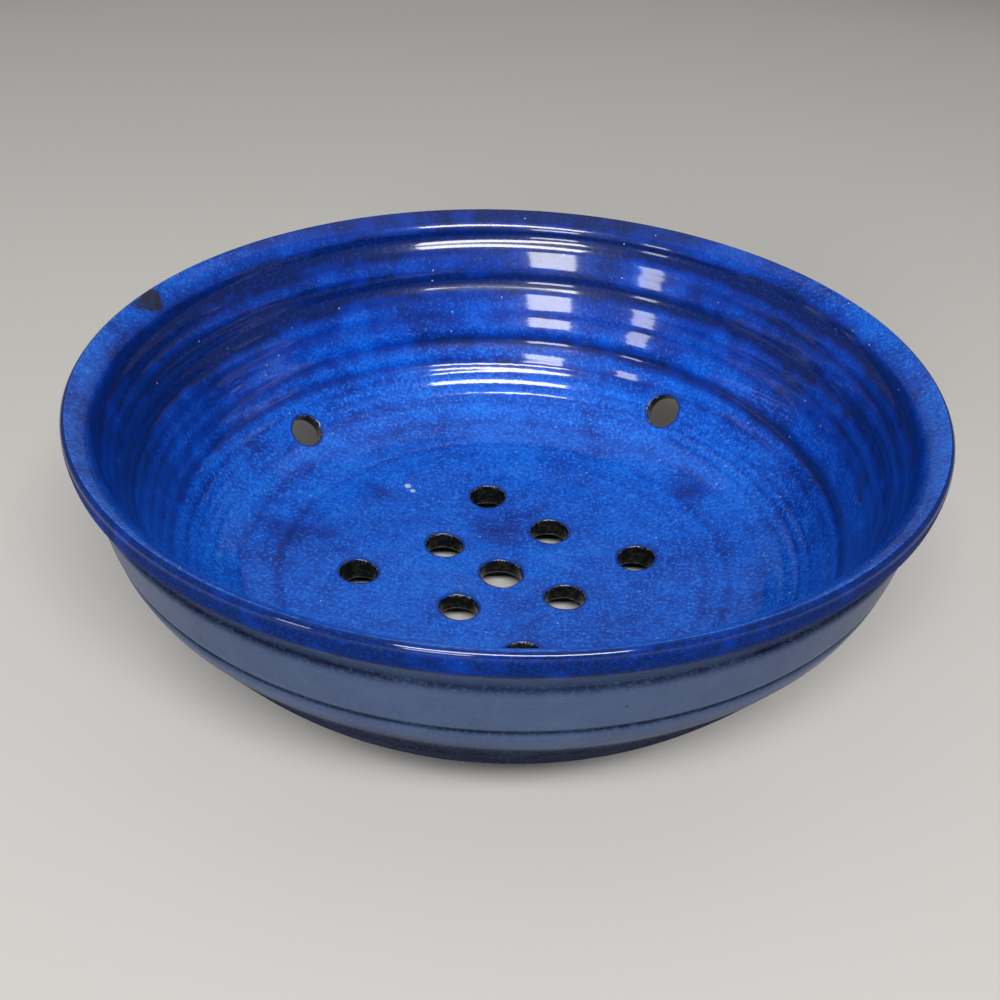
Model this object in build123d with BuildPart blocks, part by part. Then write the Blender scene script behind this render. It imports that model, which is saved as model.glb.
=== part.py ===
"""Berry colander bowl: a wheel-thrown stoneware bowl with drain holes and a fired glaze coat.

Millimetres and degrees. The bowl stands on its foot ring at z = 0, and its axis is the Z axis.
Every section is drawn in the XZ plane, as radius and height, and revolved about the axis.
"""

import os
from math import asin, cos, degrees, radians, sin, sqrt

from build123d import *

os.makedirs("parts", exist_ok=True)

# Overall sizes
RIM_DIAMETER = 220.0
BOWL_HEIGHT = 75.0
GLAZE_THICKNESS = 0.5

# Foot ring and floor, whose thickness is on the axis: the floor is dished above and flat below
FOOT_DIAMETER = 112.0
FOOT_WIDTH = 7.0
FOOT_TAPER = 1.0
FOOT_JOIN_HEIGHT = 6.6
RECESS_DEPTH = 5.6
FLOOR_THICKNESS = 4.6
DISH_RADIUS = 420.0
BARE_FOOT_HEIGHT = 2.2

# Inside line: dished floor, knuckle, straight wall and flared lip
WALL_SLOPE = 69.0
KNUCKLE_RADIUS = 34.0
FLARE_WIDTH = 6.4
FLARE_HEIGHT = 6.2
CREST_WIDTH = 1.0

# Outside line, as setbacks from the rim and drops from the crest
LIP_DROP = 5.8
LIP_SETBACK = 0.5
UNDERCUT_DROP = 12.0
UNDERCUT_SETBACK = 4.9
BAND_TOP_DROP = 13.8
BAND_TOP_SETBACK = 4.2
BAND_END_DROP = 25.6
BAND_END_SETBACK = 6.8
GROOVE_DROP = 27.2
GROOVE_SETBACK = 7.9
LOW_BAND_TOP_DROP = 28.8
LOW_BAND_TOP_SETBACK = 7.6
LOW_BAND_END_DROP = 33.0
LOW_BAND_END_SETBACK = 9.4
OUTSIDE_ROUNDING = 0.7

# Belly, trimmed on the wheel to follow the knuckle at one thickness
BELLY_THICKNESS = 4.4
BELLY_SLOPES = [60.0, 44.0, 26.0]
BELLY_ROUNDING = 14.0

# Throwing rings, pressed into the inside by a fingertip
FINGER_RADIUS = 11.0
RING_DEPTH = 0.45
WALL_RING_COUNT = 4
KNUCKLE_RING_COUNT = 4

# Drain holes, punched by hand
CENTRE_HOLE_DIAMETER = 12.0
FLOOR_HOLE_DIAMETER = 11.0
WALL_HOLE_DIAMETER = 10.0
# Angle about the axis and radius from it
INNER_HOLES = [(56.0, 24.5), (145.0, 20.5), (236.0, 20.0), (330.0, 20.5)]
# Angle about the axis and gap to the inside of the foot ring
OUTER_HOLES = [(11.0, 10.0), (98.0, 12.5), (186.0, 9.0), (280.0, 12.0)]
# Angle about the axis and slope of the knuckle at the hole
WALL_HOLES = [(54.0, 48.0), (140.0, 41.0), (232.0, 45.0), (322.0, 45.0)]

# Derived positions
rim_radius = RIM_DIAMETER / 2
foot_radius = FOOT_DIAMETER / 2
recess_radius = foot_radius - FOOT_WIDTH
floor_top = RECESS_DEPTH + FLOOR_THICKNESS
dish_centre = Vector(0, floor_top + DISH_RADIUS)
wall_dir = Vector(cos(radians(WALL_SLOPE)), sin(radians(WALL_SLOPE)))
wall_in = Vector(-wall_dir.Y, wall_dir.X)
wall_top = Vector(rim_radius - CREST_WIDTH - FLARE_WIDTH, BOWL_HEIGHT - FLARE_HEIGHT)

# The knuckle arc touches the dished floor and the straight wall
reach = DISH_RADIUS - KNUCKLE_RADIUS
from_dish = wall_top + wall_in * KNUCKLE_RADIUS - dish_centre
along = from_dish.dot(wall_dir)
drop = along + sqrt(along**2 - from_dish.dot(from_dish) + reach**2)
knuckle_centre = wall_top + wall_in * KNUCKLE_RADIUS - wall_dir * drop
dish_slope = degrees(asin(knuckle_centre.X / reach))


def outside_point(setback, height_drop):
    """Return a point of the outside line from its setback and drop."""
    return (rim_radius - setback, BOWL_HEIGHT - height_drop)


def knuckle_point(slope, depth=0.0):
    """Return the point at a slope of the knuckle, moved towards its centre by a depth."""
    distance = KNUCKLE_RADIUS - depth
    return knuckle_centre + Vector(sin(radians(slope)), -cos(radians(slope))) * distance


# Finished section: clay and glaze together
with BuildSketch(Plane.XZ) as finished_section:
    with BuildLine():
        floor_line = CenterArc(dish_centre, DISH_RADIUS, -90, dish_slope)
        knuckle = CenterArc(knuckle_centre, KNUCKLE_RADIUS, dish_slope - 90, WALL_SLOPE - dish_slope)
        wall = Line(knuckle @ 1, wall_top)
        flare = TangentArc(wall_top, (rim_radius - CREST_WIDTH, BOWL_HEIGHT), tangent=wall_dir)
        outside = FilletPolyline(
            flare @ 1,
            outside_point(CREST_WIDTH / 4, CREST_WIDTH / 4),
            outside_point(0, LIP_DROP / 2),
            outside_point(LIP_SETBACK, LIP_DROP),
            outside_point(UNDERCUT_SETBACK, UNDERCUT_DROP),
            outside_point(BAND_TOP_SETBACK, BAND_TOP_DROP),
            outside_point(BAND_END_SETBACK, BAND_END_DROP),
            outside_point(GROOVE_SETBACK, GROOVE_DROP),
            outside_point(LOW_BAND_TOP_SETBACK, LOW_BAND_TOP_DROP),
            outside_point(LOW_BAND_END_SETBACK, LOW_BAND_END_DROP),
            radius=OUTSIDE_ROUNDING,
        )
        underside = Line((0, RECESS_DEPTH), (recess_radius - FOOT_TAPER, RECESS_DEPTH))
        foot_join = (foot_radius + FOOT_TAPER, FOOT_JOIN_HEIGHT)
        belly = FilletPolyline(
            outside @ 1,
            *[knuckle_point(slope, -BELLY_THICKNESS) for slope in BELLY_SLOPES],
            foot_join,
            radius=BELLY_ROUNDING,
        )
        foot = Polyline(
            foot_join,
            (foot_radius, 0),
            (recess_radius, 0),
            underside @ 1,
        )
        Line(underside @ 0, floor_line @ 0)
    make_face()
    finger_in = FINGER_RADIUS - RING_DEPTH
    wall_rings = [
        wall @ ((ring + 0.5) / WALL_RING_COUNT) + wall_in * finger_in
        for ring in range(WALL_RING_COUNT)
    ]
    knuckle_pitch = (WALL_SLOPE - dish_slope) / KNUCKLE_RING_COUNT
    knuckle_rings = [
        knuckle_point(dish_slope + (ring + 0.5) * knuckle_pitch, finger_in)
        for ring in range(KNUCKLE_RING_COUNT)
    ]
    with Locations(*wall_rings, *knuckle_rings):
        Circle(FINGER_RADIUS, mode=Mode.SUBTRACT)

# The centre hole runs along the axis, so it is left out of the clay and coat sections
with BuildSketch(Plane.XZ) as centre_drain:
    Rectangle(
        CENTRE_HOLE_DIAMETER / 2 + GLAZE_THICKNESS,
        BOWL_HEIGHT,
        align=(Align.MIN, Align.MIN),
    )

# Clay section: the finished section less the glaze, with the foot left bare where it was wiped
with BuildSketch(Plane.XZ) as clay_section:
    add(finished_section.sketch_local)
    offset(amount=-GLAZE_THICKNESS, mode=Mode.REPLACE)
    with BuildSketch(mode=Mode.PRIVATE) as bare_foot:
        add(finished_section.sketch_local)
        with Locations((recess_radius - FOOT_TAPER, 0)):
            Rectangle(
                FOOT_WIDTH + 2 * FOOT_TAPER,
                BARE_FOOT_HEIGHT,
                align=(Align.MIN, Align.MIN),
                mode=Mode.INTERSECT,
            )
    add(bare_foot.sketch_local)
    add(centre_drain.sketch_local, mode=Mode.SUBTRACT)

# Glaze coat section, parted at the crest of the lip and at the wiped foot
with BuildSketch(Plane.XZ) as coat_section:
    add(finished_section.sketch_local)
    add(clay_section.sketch_local, mode=Mode.SUBTRACT)
    add(centre_drain.sketch_local, mode=Mode.SUBTRACT)

half_floor = FLOOR_THICKNESS / 2
crest_radius = rim_radius - CREST_WIDTH
with BuildSketch(Plane.XZ) as inside_region:
    with BuildLine():
        CenterArc(dish_centre, DISH_RADIUS + half_floor, -90, dish_slope)
        mid_knuckle = CenterArc(
            knuckle_centre,
            KNUCKLE_RADIUS + half_floor,
            dish_slope - 90,
            WALL_SLOPE - dish_slope,
        )
        Polyline(
            mid_knuckle @ 1,
            wall_top - wall_in * half_floor,
            (crest_radius, BOWL_HEIGHT - LIP_DROP / 2),
            (crest_radius, BOWL_HEIGHT + LIP_DROP),
            (0, BOWL_HEIGHT + LIP_DROP),
            (0, floor_top - half_floor),
        )
    make_face()

with BuildSketch(Plane.XZ) as base_region:
    with BuildLine():
        mid_radius = DISH_RADIUS + half_floor
        mid_slope = degrees(asin((recess_radius - FOOT_TAPER) / mid_radius))
        mid_floor = CenterArc(dish_centre, mid_radius, -90, mid_slope)
        Polyline(
            mid_floor @ 1,
            (foot_radius - FOOT_WIDTH / 2, 0),
            (0, 0),
            mid_floor @ 0,
        )
    make_face()

with BuildSketch(Plane.XZ) as inside_section:
    add(coat_section.sketch_local)
    add(inside_region.sketch_local, mode=Mode.INTERSECT)

with BuildSketch(Plane.XZ) as base_section:
    add(coat_section.sketch_local)
    add(base_region.sketch_local, mode=Mode.INTERSECT)

with BuildSketch(Plane.XZ) as outside_section:
    add(coat_section.sketch_local)
    add(inside_region.sketch_local, mode=Mode.SUBTRACT)
    add(base_region.sketch_local, mode=Mode.SUBTRACT)

# Where the punch goes through: straight down in the floor, square to the surface in the knuckle
punch_length = 5 * FLOOR_THICKNESS
floor_spots = [
    Location((radius * cos(radians(angle)), radius * sin(radians(angle)), floor_top))
    for angle, radius in INNER_HOLES + [(angle, recess_radius - gap) for angle, gap in OUTER_HOLES]
]
wall_spots = [
    Location((0, 0, 0), (0, 0, angle))
    * Location((knuckle_point(slope).X, 0, knuckle_point(slope).Y), (0, 180 - slope, 0))
    for angle, slope in WALL_HOLES
]


def punch(growth, mode):
    """Add or cut the holes round the centre one, wider all round by a growth in radius."""
    with Locations(*floor_spots):
        Cylinder(FLOOR_HOLE_DIAMETER / 2 + growth, punch_length, mode=mode)
    with Locations(*wall_spots):
        Cylinder(WALL_HOLE_DIAMETER / 2 + growth, punch_length, mode=mode)


# Fired clay: floor, wall, lip and foot ring in one piece
with BuildPart() as stoneware_body:
    revolve(clay_section.sketch, axis=Axis.Z)
    punch(GLAZE_THICKNESS, Mode.SUBTRACT)
stoneware_body.part.label = "stoneware_body"
export_step(stoneware_body.part, "parts/stoneware_body.step")

# Glaze on the inside, from the floor up to the crest
with BuildPart() as inside_glaze:
    revolve(inside_section.sketch, axis=Axis.Z)
    punch(GLAZE_THICKNESS, Mode.SUBTRACT)
inside_glaze.part.label = "inside_glaze"
export_step(inside_glaze.part, "parts/inside_glaze.step")

# Glaze on the outside, from the crest down to the wiped line on the foot
with BuildPart() as outside_glaze:
    revolve(outside_section.sketch, axis=Axis.Z)
    punch(GLAZE_THICKNESS, Mode.SUBTRACT)
outside_glaze.part.label = "outside_glaze"
export_step(outside_glaze.part, "parts/outside_glaze.step")

# Glaze under the floor, inside the foot ring
with BuildPart() as base_glaze:
    revolve(base_section.sketch, axis=Axis.Z)
    punch(GLAZE_THICKNESS, Mode.SUBTRACT)
base_glaze.part.label = "base_glaze"
export_step(base_glaze.part, "parts/base_glaze.step")

# Glaze that lines the drain holes, one sleeve in each
with BuildPart() as drain_hole_glaze:
    with Locations((0, 0, floor_top)):
        Cylinder(CENTRE_HOLE_DIAMETER / 2 + GLAZE_THICKNESS, punch_length)
        Cylinder(CENTRE_HOLE_DIAMETER / 2, punch_length, mode=Mode.SUBTRACT)
    punch(GLAZE_THICKNESS, Mode.ADD)
    punch(0, Mode.SUBTRACT)
    revolve(finished_section.sketch, axis=Axis.Z, mode=Mode.INTERSECT)
drain_hole_glaze.part.label = "drain_hole_glaze"
export_step(drain_hole_glaze.part, "parts/drain_hole_glaze.step")
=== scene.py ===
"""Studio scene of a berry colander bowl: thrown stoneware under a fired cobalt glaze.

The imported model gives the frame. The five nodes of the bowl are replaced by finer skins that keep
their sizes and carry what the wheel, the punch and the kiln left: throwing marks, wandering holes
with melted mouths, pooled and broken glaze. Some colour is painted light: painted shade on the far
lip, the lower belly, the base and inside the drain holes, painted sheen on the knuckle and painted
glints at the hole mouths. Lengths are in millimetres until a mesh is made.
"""

from __future__ import annotations

import logging
import math
from dataclasses import dataclass, field
from enum import Enum
from typing import Optional, Union

import bpy
import numpy as np
from mathutils import Matrix, Vector
from mathutils.geometry import delaunay_2d_cdt

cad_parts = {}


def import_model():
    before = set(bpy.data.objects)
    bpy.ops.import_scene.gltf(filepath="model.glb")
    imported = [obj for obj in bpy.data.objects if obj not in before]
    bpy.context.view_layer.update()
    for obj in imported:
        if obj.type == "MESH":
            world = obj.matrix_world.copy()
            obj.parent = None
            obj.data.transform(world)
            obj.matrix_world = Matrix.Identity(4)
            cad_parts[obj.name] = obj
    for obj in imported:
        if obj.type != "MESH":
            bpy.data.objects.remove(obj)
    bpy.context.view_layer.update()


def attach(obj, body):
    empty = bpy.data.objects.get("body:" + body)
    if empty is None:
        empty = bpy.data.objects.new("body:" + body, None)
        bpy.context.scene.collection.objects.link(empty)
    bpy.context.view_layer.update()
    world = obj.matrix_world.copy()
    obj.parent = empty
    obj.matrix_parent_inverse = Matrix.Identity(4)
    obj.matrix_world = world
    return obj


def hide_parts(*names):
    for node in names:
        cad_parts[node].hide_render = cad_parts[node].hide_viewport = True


LOG = logging.getLogger("berry_bowl")
MM = 0.001
TURN = 2 * math.pi
MEAN = 0.5  # of a noise
Colour = tuple[float, float, float, float]
Value = Union["Signal", float, tuple]
Inputs = dict[Union[str, int], Value]
Spot = tuple[float, float, float]
# The pool mask carries pooled glaze together with painted shade and painted sheen.
MASKS = ("pool", "edge", "bare", "lip", "crest")


class Region(Enum):
    """Stretches of the finished skin, each one coat of the pot or its bare clay."""

    INSIDE = "inside_glaze"
    OUTSIDE = "outside_glaze"
    BASE = "base_glaze"
    DRAIN = "drain_hole_glaze"
    FOOT = "stoneware_body"


class Seat(Enum):
    """Where a drain hole was punched."""

    FLOOR = "floor"
    WALL = "wall"


# ---- Shader maths ----


class Signal:
    """One output socket, on which arithmetic adds Math nodes."""

    def __init__(self, shader: "Shader", socket: bpy.types.NodeSocket) -> None:
        """Hold a socket and the shader that it belongs to."""
        self.shader = shader
        self.socket = socket

    def _math(self, operation: str, first: Value, second: Value = 0.0) -> "Signal":
        """Add one Math node.

        Args:
            operation: The node's operation.
            first: Its first input.
            second: Its second input.

        Returns:
            The node's result.
        """
        return self.shader.node(
            "ShaderNodeMath", {"operation": operation}, {0: first, 1: second}
        )

    def __add__(self, other: Value) -> "Signal":
        """Return self + other."""
        return self._math("ADD", self, other)

    def __radd__(self, other: Value) -> "Signal":
        """Return other + self."""
        return self._math("ADD", other, self)

    def __sub__(self, other: Value) -> "Signal":
        """Return self - other."""
        return self._math("SUBTRACT", self, other)

    def __rsub__(self, other: Value) -> "Signal":
        """Return other - self."""
        return self._math("SUBTRACT", other, self)

    def __mul__(self, other: Value) -> "Signal":
        """Return self * other."""
        return self._math("MULTIPLY", self, other)

    def __rmul__(self, other: Value) -> "Signal":
        """Return other * self."""
        return self._math("MULTIPLY", other, self)

    def fade(self, low: float, high: float) -> "Signal":
        """Fade smoothly from 0 to 1.

        Args:
            low: The value that gives 0.
            high: The value that gives 1. It may be below low.

        Returns:
            The faded value.
        """
        return self.shader.node(
            "ShaderNodeMapRange",
            {"interpolation_type": "SMOOTHSTEP"},
            {"Value": self, "From Min": low, "From Max": high},
        )

    def clamped(self) -> "Signal":
        """Return the value held between 0 and 1."""
        return self.shader.node("ShaderNodeClamp", {}, {"Value": self})


class Shader:
    """A material or a room under construction and the one place where its nodes are made."""

    def __init__(self, owner: Union[bpy.types.Material, bpy.types.World]) -> None:
        """Empty the owner's nodes.

        Args:
            owner: The material or the world that the nodes belong to.
        """
        self.owner = owner
        owner.use_nodes = True
        self.tree = owner.node_tree
        self.tree.nodes.clear()
        self.place = self.node("ShaderNodeTexCoord", {}, {}, "Object")

    def node(
        self, kind: str, settings: dict[str, object], inputs: Inputs, output: Union[str, int] = 0
    ) -> Signal:
        """Add one node.

        Args:
            kind: The node's type.
            settings: Its properties, set first. "stops" sets a colour ramp.
            inputs: Values or links of its sockets.
            output: The socket to return.

        Returns:
            The chosen output.
        """
        made = self.tree.nodes.new(kind)
        for name, value in settings.items():
            if name == "stops":
                self._set_stops(made.color_ramp, value)
            else:
                setattr(made, name, value)
        for key, value in inputs.items():
            if isinstance(value, Signal):
                self.tree.links.new(value.socket, made.inputs[key])
            else:
                made.inputs[key].default_value = value
        return Signal(self, made.outputs[output])

    @staticmethod
    def _set_stops(ramp: bpy.types.ColorRamp, stops: list[tuple[float, Colour]]) -> None:
        """Write a colour ramp's stops.

        Args:
            ramp: The ramp.
            stops: Positions and colours, in order.
        """
        while len(ramp.elements) < len(stops):
            ramp.elements.new(1.0)
        for element, (position, colour) in zip(ramp.elements, stops):
            element.position = position
            element.color = colour

    def noise(self, size: float, detail: float = 2.0, rough: float = 0.5) -> Signal:
        """Add a cloud of noise.

        Args:
            size: The size of its blotches in millimetres.
            detail: How many finer layers it has.
            rough: How strong those are.

        Returns:
            A value that varies about 0.5.
        """
        return self.node(
            "ShaderNodeTexNoise",
            {},
            {"Vector": self.place, "Scale": 1 / (size * MM), "Detail": detail, "Roughness": rough},
        )

    def specks(self, cell: float, radius: float, share: float) -> Signal:
        """Scatter round specks.

        Args:
            cell: The distance between possible specks in millimetres.
            radius: A speck's radius in millimetres.
            share: The share of cells that hold one.

        Returns:
            1 in a speck and 0 elsewhere.
        """
        settings = {"feature": "F1", "voronoi_dimensions": "3D"}
        inputs = {"Vector": self.place, "Scale": 1 / (cell * MM), "Randomness": 1.0}
        distance = self.node("ShaderNodeTexVoronoi", settings, inputs, "Distance")
        chance = self.node("ShaderNodeTexVoronoi", settings, inputs, "Color")
        pick = self.node("ShaderNodeSeparateColor", {}, {"Color": chance}, "Red")
        dot = distance.fade(radius / cell, 0.5 * radius / cell)
        return dot * pick.fade(1 - share, 1.02 - share)

    def distance(self, spot: Spot) -> Signal:
        """Return the distance from a spot, in metres."""
        ends = {0: self.place, 1: spot}
        return self.node("ShaderNodeVectorMath", {"operation": "DISTANCE"}, ends, "Value")

    def attribute(self, name: str) -> Signal:
        """Return a value that the mesh carries at its points."""
        settings = {"attribute_type": "GEOMETRY", "attribute_name": name}
        return self.node("ShaderNodeAttribute", settings, {}, "Fac")

    def mix(self, factor: Value, first: Value, second: Value) -> Signal:
        """Mix two colours.

        Args:
            factor: The share of the second.
            first: The first colour.
            second: The second colour.

        Returns:
            The mixed colour.
        """
        return self.node(
            "ShaderNodeMix", {"data_type": "RGBA"}, {0: factor, 6: first, 7: second}, 2
        )

    def ramp(self, value: Signal, stops: list[tuple[float, Colour]]) -> Signal:
        """Return the colour that a ramp gives for a value."""
        return self.node("ShaderNodeValToRGB", {"stops": stops}, {"Fac": value})

    def bump(self, height: Signal, depth: float, under: Optional[Signal] = None) -> Signal:
        """Turn a height into a surface normal.

        Args:
            height: The height, from 0 to 1.
            depth: What 1 stands for, in millimetres.
            under: A normal to start from.

        Returns:
            The bent normal.
        """
        inputs: Inputs = {"Height": height, "Strength": 1.0, "Distance": depth * MM}
        if under is not None:
            inputs["Normal"] = under
        return self.node("ShaderNodeBump", {}, inputs)

    def finish(self, inputs: Inputs) -> bpy.types.Material:
        """Close the material with one principled shader.

        Args:
            inputs: The shader's values and links.

        Returns:
            The finished material.
        """
        surface = self.node("ShaderNodeBsdfPrincipled", {}, inputs)
        self.close("ShaderNodeOutputMaterial", surface)
        return self.owner

    def close(self, kind: str, surface: Signal) -> None:
        """Add the output node.

        Args:
            kind: The output's type.
            surface: What it shows.
        """
        output = self.tree.nodes.new(kind)
        self.tree.links.new(surface.socket, output.inputs["Surface"])


# ---- Finishes ----


@dataclass(frozen=True)
class Finish:
    """What one piece is finished with."""

    name: str

    def material(self) -> bpy.types.Material:
        """Make the material.

        Returns:
            The finished material.
        """
        shader = Shader(bpy.data.materials.new(self.name))
        return shader.finish(self.paint(shader))

    def paint(self, shader: Shader) -> Inputs:
        """Work out what the principled shader shows.

        Args:
            shader: The material under construction.

        Returns:
            The shader's values and links.
        """
        raise NotImplementedError


@dataclass(frozen=True)
class CobaltGlaze(Finish):
    """Cobalt glaze that is pale where it ran thin, navy where it pooled and brown where it broke.

    Where the second dip reached over the lip the coat is thick, and below it the first dip shows.
    The pool mask and the darkest colours also carry painted shade, and a paler knuckle carries
    painted sheen.
    """

    thin: Colour = (0.006, 0.205, 0.92, 1.0)
    body: Colour = (0.002, 0.110, 0.66, 1.0)
    deep: Colour = (0.001, 0.040, 0.36, 1.0)
    pooled: Colour = (0.0008, 0.014, 0.11, 1.0)
    broken: Colour = (0.026, 0.021, 0.015, 1.0)
    bare: Colour = (0.022, 0.034, 0.040, 1.0)
    speck: Colour = (0.50, 0.60, 0.80, 1.0)
    glint: Colour = (0.035, 0.250, 0.95, 1.0)
    first_thin: Colour = (0.080, 0.122, 0.235, 1.0)
    first_body: Colour = (0.044, 0.072, 0.155, 1.0)
    # Darkest first-dip colour, darkened further as painted shade for the lower belly and base.
    first_deep_and_shade: Colour = (0.003, 0.005, 0.022, 1.0)
    crumbs: tuple[Spot, ...] = ()
    crumb_height: float = 12.8
    first_dip: bool = False
    bias: float = 0.0
    satin: float = 0.30
    wet: float = 0.95
    dry: float = 0.40
    sheen: float = 0.18
    sugar: float = 1.0
    coat_rough: float = 0.07
    coat_ior: float = 1.5
    usual: float = 0.42
    pool_shade_sheen_share: float = 0.62
    mottle_relief: float = 0.13
    peel_relief: float = 0.06
    grain_relief: float = 0.012

    def paint(self, shader: Shader) -> Inputs:
        """Work out what the principled shader shows.

        Args:
            shader: The material under construction.

        Returns:
            The shader's values and links.
        """
        grain = shader.noise(0.95, 3.0, 0.7)
        peel = shader.noise(1.9, 1.0, 0.5)
        mottle = shader.noise(6.0, 3.0, 0.6)
        cloud = shader.noise(24.0, 2.0, 0.5)
        # Pooled glaze, together with painted shade on the far lip, belly and base and painted sheen
        # on the knuckle.
        pool = shader.attribute("pool")
        edge = shader.attribute("edge")
        bare = shader.attribute("bare")
        wander = (cloud - MEAN) * 0.80 + (mottle - MEAN) * 0.65
        thickness_shade_and_sheen = self.usual + self.bias + pool * self.pool_shade_sheen_share + wander
        colour = shader.ramp(
            thickness_shade_and_sheen.clamped(),
            [(0.0, self.thin), (self.usual, self.body), (0.72, self.deep), (1.0, self.pooled)],
        )
        colour = shader.mix(grain.fade(0.49, 0.34) * 0.70, colour, self.deep)
        sugar = grain.fade(0.52, 0.64) * (0.80 - pool * 1.1).clamped() * self.sugar
        colour = shader.mix(sugar, colour, self.glint)
        if self.first_dip:
            # The first dip's ramp ends in its darkest colour: pooled glaze in the grooves and
            # painted shade below the belly line.
            first = shader.ramp(
                (0.35 + pool * 0.65 + wander * 0.4).clamped(),
                [(0.0, self.first_thin), (0.45, self.first_body), (1.0, self.first_deep_and_shade)],
            )
            first = shader.mix(grain.fade(0.51, 0.62) * 0.25, first, self.first_thin)
            lip = shader.attribute("lip") + (mottle - MEAN) * 0.5
            colour = shader.mix(lip.fade(0.4, 0.6), first, colour)
        colour = shader.mix(shader.specks(3.2, 0.32, 0.16) * 0.8 * self.sugar, colour, self.speck)
        colour = shader.mix(shader.specks(5.2, 0.50, 0.08) * 0.7, colour, self.pooled)
        ragged = (edge + (mottle - MEAN) * 0.5 + (grain - MEAN) * 0.3).fade(0.42, 0.72)
        colour = shader.mix(ragged, colour, self.broken)
        for across, back, size in self.crumbs:
            away = shader.distance((across * MM, back * MM, self.crumb_height * MM))
            crumb = (away + (grain - MEAN) * (1.5 * MM)).fade(size * MM, size * 0.7 * MM)
            colour = shader.mix(crumb, colour, self.speck)
        worn = (bare + (mottle - MEAN) * 1.1 + (peel - MEAN) * 0.6).fade(0.30, 0.85)
        rust = shader.mix(peel.fade(0.42, 0.58), self.bare, self.broken)
        colour = shader.mix(worn * 0.92, colour, rust)
        rough = self.satin + (grain - MEAN) * 0.16 + (cloud - MEAN) * 0.12 + worn * 0.25
        normal = shader.bump(mottle, self.mottle_relief)
        normal = shader.bump(peel, self.peel_relief, normal)
        normal = shader.bump(grain, self.grain_relief, normal)
        wet = self.wet - worn * 0.5
        if self.first_dip:
            crest = shader.attribute("crest")
            wet = self.dry * (1 - pool) * (1 - shader.attribute("lip") * 0.7) + crest * self.wet
        return {
            "Base Color": colour,
            "Roughness": rough.clamped(),
            "Coat Weight": wet.clamped(),
            "Coat Roughness": self.coat_rough,
            "Coat IOR": self.coat_ior,
            "Specular IOR Level": self.sheen,
            "Normal": normal,
        }


@dataclass(frozen=True)
class DrainGlaze(Finish):
    """Thin dark glass in the punched holes, where iron from the clay shows through; its near-black
    is also painted shade in the bores, and pale stipple at the mouths is painted glints.
    """

    # Near-black bore colour: partly dark iron glass, partly painted shade inside the holes.
    bore_dark_and_shade: Colour = (0.004, 0.008, 0.010, 1.0)
    iron: Colour = (0.024, 0.021, 0.015, 1.0)
    blue: Colour = (0.003, 0.052, 0.36, 1.0)
    # Pale colour for painted glints along the hole mouths.
    painted_mouth_glint: Colour = (0.300, 0.350, 0.390, 1.0)
    glass: float = 0.16
    relief: float = 0.16

    def paint(self, shader: Shader) -> Inputs:
        """Work out what the principled shader shows.

        Args:
            shader: The material under construction.

        Returns:
            The shader's values and links.
        """
        mottle = shader.noise(1.6, 3.0, 0.6)
        grain = shader.noise(0.5, 2.0, 0.6)
        edge = shader.attribute("edge")
        colour = shader.mix(mottle.fade(0.45, 0.62), self.bore_dark_and_shade, self.iron)
        mouth = (edge + (mottle - MEAN) * 0.4).fade(0.90, 0.72)
        colour = shader.mix(mouth, colour, self.blue)
        # Pale stipple round the mouths: painted glints.
        mouth_glint_mask = edge.fade(1.0, 0.95) * edge.fade(0.72, 0.84) * mottle.fade(0.46, 0.56)
        colour = shader.mix(mouth_glint_mask * grain.fade(0.50, 0.60) * 0.8, colour, self.painted_mouth_glint)
        rough = self.glass + (grain - MEAN) * 0.12
        relief = shader.bump(mottle, self.relief)
        return {"Base Color": colour, "Roughness": rough.clamped(), "Normal": relief}


@dataclass(frozen=True)
class BareStoneware(Finish):
    """Fired clay with iron specks, bare where the foot was wiped."""

    clay: Colour = (0.40, 0.27, 0.17, 1.0)
    toasted: Colour = (0.26, 0.15, 0.085, 1.0)
    iron: Colour = (0.05, 0.03, 0.02, 1.0)
    matte: float = 0.72
    relief: float = 0.12

    def paint(self, shader: Shader) -> Inputs:
        """Work out what the principled shader shows.

        Args:
            shader: The material under construction.

        Returns:
            The shader's values and links.
        """
        cloud = shader.noise(9.0, 4.0, 0.6)
        grit = shader.noise(0.45, 3.0, 0.7)
        colour = shader.mix(cloud.fade(0.40, 0.64), self.clay, self.toasted)
        colour = shader.mix(grit.fade(0.58, 0.72) * 0.5, colour, self.toasted)
        colour = shader.mix(shader.specks(1.8, 0.28, 0.25) * 0.8, colour, self.iron)
        rough = self.matte + (grit - MEAN) * 0.3
        relief = shader.bump(grit, self.relief)
        return {"Base Color": colour, "Roughness": rough.clamped(), "Normal": relief}


@dataclass(frozen=True)
class PaleFloor(Finish):
    """Plain pale studio floor that fades into the room round it."""

    pale: Colour = (0.72, 0.70, 0.665, 1.0)
    shade: Colour = (0.69, 0.67, 0.635, 1.0)
    near: float = 0.50
    far: float = 1.00
    middle: Spot = (0.0, 0.20, 0.0)
    matte: float = 0.65

    def paint(self, shader: Shader) -> Inputs:
        """Work out what the principled shader shows.

        Args:
            shader: The material under construction.

        Returns:
            The shader's values and links.
        """
        cloud = shader.noise(160.0, 2.0, 0.5)
        colour = shader.mix(cloud, self.pale, self.shade)
        solid = shader.distance(self.middle).fade(self.far, self.near)
        return {"Base Color": colour, "Roughness": self.matte, "Alpha": solid}


# ---- The turned section ----


def arc(centre: np.ndarray, radius: float, start: float, end: float) -> np.ndarray:
    """Sample an arc of the section.

    Args:
        centre: Its centre.
        radius: Its radius.
        start: Its first angle in degrees.
        end: Its last angle in degrees.

    Returns:
        Its points, in order.
    """
    count = max(8, int(abs(math.radians(end - start)) * radius / 0.5))
    turn = np.radians(np.linspace(start, end, count))
    return centre + radius * np.column_stack([np.cos(turn), np.sin(turn)])


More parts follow.
